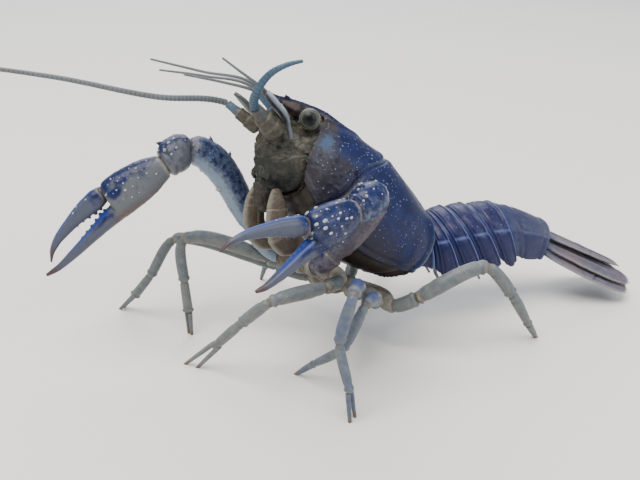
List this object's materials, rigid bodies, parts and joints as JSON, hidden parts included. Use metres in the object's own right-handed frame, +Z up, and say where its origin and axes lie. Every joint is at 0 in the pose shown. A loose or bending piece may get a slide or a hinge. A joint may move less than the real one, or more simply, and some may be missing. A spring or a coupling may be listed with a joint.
{
  "type": "crayfish model",
  "caption": "Life-size still model of a blue freshwater crayfish on its walking legs, head raised, claws held forward, tail stretched out behind.",
  "frame": {"origin": "middle of the model's outline on the floor, under its feet", "axes": "+Z up from the floor, +X towards the tail, -X towards the claws and the long feeler, +Y to the animal's right side, away from the picture's camera"},
  "size_m": [0.151, 0.076, 0.0588],
  "materials": {
    "carapace_blue": "satin dark blue shell with pale specks",
    "face_olive": "matt olive-grey shell",
    "belly_tan": "matt tan shell",
    "abdomen_blue": "satin violet-blue shell with pale rims",
    "tail_violet": "satin grey-violet shell",
    "claw_blue": "satin blue shell with cream tubercles",
    "finger_lavender": "satin lavender shell",
    "leg_grey": "satin grey-green shell",
    "antenna_blue": "satin pale blue ringed feeler",
    "eye_black": "glossy black cornea"
  },
  "bodies": {
    "root": {"abdomen_1": "abdomen_blue", "abdomen_2": "abdomen_blue", "abdomen_3": "abdomen_blue", "abdomen_4": "abdomen_blue", "abdomen_5": "abdomen_blue", "abdomen_6": "abdomen_blue", "antenna_base_left": "face_olive", "antenna_base_right": "face_olive", "antenna_left": "antenna_blue", "antenna_right": "antenna_blue", "antenna_scale_left": "face_olive", "antenna_scale_right": "face_olive", "antennule_left": "antenna_blue", "antennule_right": "antenna_blue", "carapace": "carapace_blue", "cheliped_arm_left": "claw_blue", "cheliped_arm_right": "claw_blue", "cheliped_wrist_left": "claw_blue", "cheliped_wrist_right": "claw_blue", "claw_finger_left": "finger_lavender", "claw_finger_right": "finger_lavender", "claw_hand_left": "claw_blue", "claw_hand_right": "claw_blue", "eye_left": "eye_black", "eye_right": "eye_black", "head_front": "face_olive", "leg_1_lower_left": "leg_grey", "leg_1_lower_right": "leg_grey", "leg_1_toe_left": "leg_grey", "leg_1_toe_right": "leg_grey", "leg_1_upper_left": "leg_grey", "leg_1_upper_right": "leg_grey", "leg_2_lower_left": "leg_grey", "leg_2_lower_right": "leg_grey", "leg_2_toe_left": "leg_grey", "leg_2_toe_right": "leg_grey", "leg_2_upper_left": "leg_grey", "leg_2_upper_right": "leg_grey", "leg_3_lower_left": "leg_grey", "leg_3_lower_right": "leg_grey", "leg_3_toe_left": "leg_grey", "leg_3_toe_right": "leg_grey", "leg_3_upper_left": "leg_grey", "leg_3_upper_right": "leg_grey", "leg_4_lower_left": "leg_grey", "leg_4_lower_right": "leg_grey", "leg_4_toe_left": "leg_grey", "leg_4_toe_right": "leg_grey", "leg_4_upper_left": "leg_grey", "leg_4_upper_right": "leg_grey", "maxilliped_left": "belly_tan", "maxilliped_right": "belly_tan", "telson": "tail_violet", "thorax_underside": "belly_tan", "uropod_inner_left": "tail_violet", "uropod_inner_right": "tail_violet", "uropod_outer_left": "tail_violet", "uropod_outer_right": "tail_violet"}
  },
  "joints": []
}
